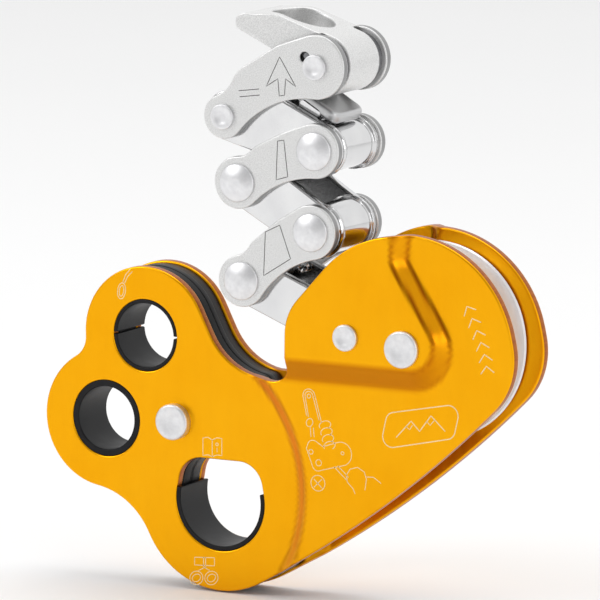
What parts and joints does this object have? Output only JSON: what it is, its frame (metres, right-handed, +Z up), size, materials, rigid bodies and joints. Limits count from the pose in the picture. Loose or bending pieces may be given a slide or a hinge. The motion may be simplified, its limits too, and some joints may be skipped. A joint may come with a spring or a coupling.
{
  "type": "rope ascender",
  "caption": "Mechanical rope ascender: formed side plates with connection holes, a sheave, and a zigzag chain of friction links topped by a release lever.",
  "frame": {"origin": "centre of the harness hole, midway between the two side plates", "axes": "+Y through the harness hole, away from the front plate; +Z up along the rope; +X from the harness hole towards the sheave"},
  "size_m": [0.1357, 0.028, 0.1482],
  "materials": {
    "anodised_plate": "satin orange-gold anodised",
    "black_nylon": "moulded, slightly glossy",
    "bright_rivet": "bright stainless",
    "blasted_steel": "bead-blasted satin",
    "polished_steel": "polished barrel, satin arms",
    "sheave_aluminium": "turned, clear anodised",
    "bearing_steel": "ground",
    "dark_shield": "pressed",
    "spring_steel": "dark drawn wire"
  },
  "bodies": {
    "frame": {"front_side_plate": "anodised_plate", "rear_side_plate": "anodised_plate", "core_spacer": "black_nylon", "upper_hole_liner": "black_nylon", "upper_hole_keeper": "black_nylon", "middle_hole_bushing": "black_nylon", "harness_hole_liner": "black_nylon", "frame_rivet": "bright_rivet", "pulley_axle": "bright_rivet", "link_pivot_studs": "bright_rivet", "bearing_inner_ring": "bearing_steel", "axle_spacers": "bearing_steel"},
    "sheave_wheel": {"sheave": "sheave_aluminium", "bearing_circlip": "spring_steel", "bearing_outer_ring": "bearing_steel", "bearing_balls": "bearing_steel", "bearing_cage": "black_nylon", "bearing_shields": "dark_shield"},
    "bottom_link": {"bottom_link": "polished_steel"},
    "lower_plates": {"outer_plate_3_front": "blasted_steel", "outer_plate_3_rear": "blasted_steel", "chain_pin_a3": "bright_rivet", "chain_pin_b3": "bright_rivet", "chain_sleeve_b3": "polished_steel"},
    "lower_link": {"lower_friction_link": "polished_steel"},
    "middle_plates": {"outer_plate_2_front": "blasted_steel", "outer_plate_2_rear": "blasted_steel", "chain_pin_a2": "bright_rivet", "chain_pin_b2": "bright_rivet", "chain_sleeve_b2": "polished_steel"},
    "upper_link": {"upper_friction_link": "polished_steel"},
    "top_plates": {"outer_plate_1_front": "blasted_steel", "outer_plate_1_rear": "blasted_steel", "chain_pin_a1": "bright_rivet", "chain_pin_b1": "bright_rivet", "chain_sleeve_b1": "polished_steel", "lever_spring": "spring_steel"},
    "lever": {"control_lever": "blasted_steel", "lever_washer": "spring_steel", "lever_stop_pin": "bright_rivet"}
  },
  "joints": [
    {"name": "sheave_spin", "type": "hinge", "parent": "frame", "child": "sheave_wheel", "pos_m": [0.0552, 0, 0.0438], "axis": [0, 1, 0], "continuous": true},
    {"name": "bottom_link_swing", "type": "hinge", "parent": "frame", "child": "bottom_link", "pos_m": [0.0393, 0, 0.0455], "axis": [0, 1, 0], "range_deg": [-6, 6]},
    {"name": "lower_plate_hinge", "type": "hinge", "parent": "bottom_link", "child": "lower_plates", "pos_m": [0.00931, 0, 0.0575], "axis": [0, -1, 0], "range_deg": [-2, 20]},
    {"name": "lower_link_hinge", "type": "hinge", "parent": "lower_plates", "child": "lower_link", "pos_m": [0.02909, 0, 0.07109], "axis": [0, 1, 0], "range_deg": [-4, 20]},
    {"name": "middle_plate_hinge", "type": "hinge", "parent": "lower_link", "child": "middle_plates", "pos_m": [0.00816, 0, 0.08222], "axis": [0, -1, 0], "range_deg": [-4, 20]},
    {"name": "upper_link_hinge", "type": "hinge", "parent": "middle_plates", "child": "upper_link", "pos_m": [0.03007, 0, 0.09151], "axis": [0, 1, 0], "range_deg": [-4, 20]},
    {"name": "top_plate_hinge", "type": "hinge", "parent": "upper_link", "child": "top_plates", "pos_m": [0.00412, 0, 0.09861], "axis": [0, -1, 0], "range_deg": [-2, 20]},
    {"name": "lever_press", "type": "hinge", "parent": "top_plates", "child": "lever", "pos_m": [0.03035, 0, 0.11256], "axis": [0, -1, 0], "range_deg": [0, 12], "stiffness_Nm_per_rad": 0.2, "springref_deg": -20.05}
  ]
}
